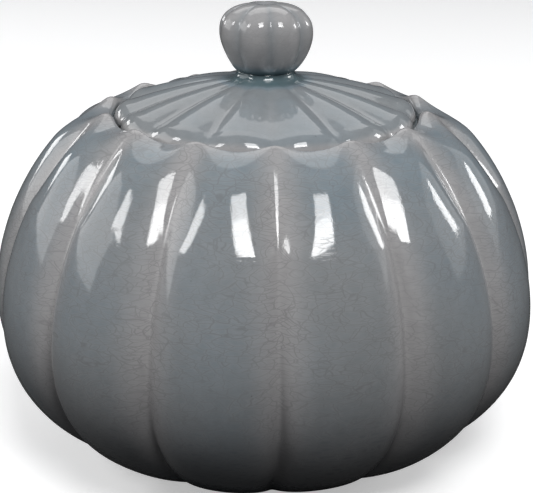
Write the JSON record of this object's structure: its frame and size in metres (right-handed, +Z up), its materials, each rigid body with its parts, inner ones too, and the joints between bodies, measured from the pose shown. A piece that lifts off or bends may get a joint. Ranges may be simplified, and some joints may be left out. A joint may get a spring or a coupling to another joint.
{
  "type": "lidded pumpkin jar",
  "caption": "Ribbed, pumpkin-shaped ceramic jar with a scalloped mouth and a low lobed lid that lifts off by a small pumpkin knob; stores or displays dry goods.",
  "frame": {"origin": "centre of the plane that the foot ring stands on", "axes": "+Z up along the jar's axis; one groove between two lobes lies on -Y, and a lobe's crest on +X"},
  "size_m": [0.21, 0.2072, 0.1737],
  "materials": {
    "celadon_glaze": "glossy blue-grey celadon glaze with a fine crackle, darker where it pools in the grooves",
    "bare_clay": "bare fired stoneware, matt and slightly rough"
  },
  "bodies": {
    "jar": {"belly_lower": "celadon_glaze", "belly_upper": "celadon_glaze", "mouth_collar": "celadon_glaze", "gallery_ring": "bare_clay", "foot_ring": "bare_clay"},
    "lid": {"lid_plate": "celadon_glaze", "lid_flange": "bare_clay", "lid_knob": "celadon_glaze"}
  },
  "joints": [
    {"name": "lid_lift", "type": "slide", "parent": "jar", "child": "lid", "axis": [0, 0, 1], "range_m": [0, 0.08]}
  ]
}
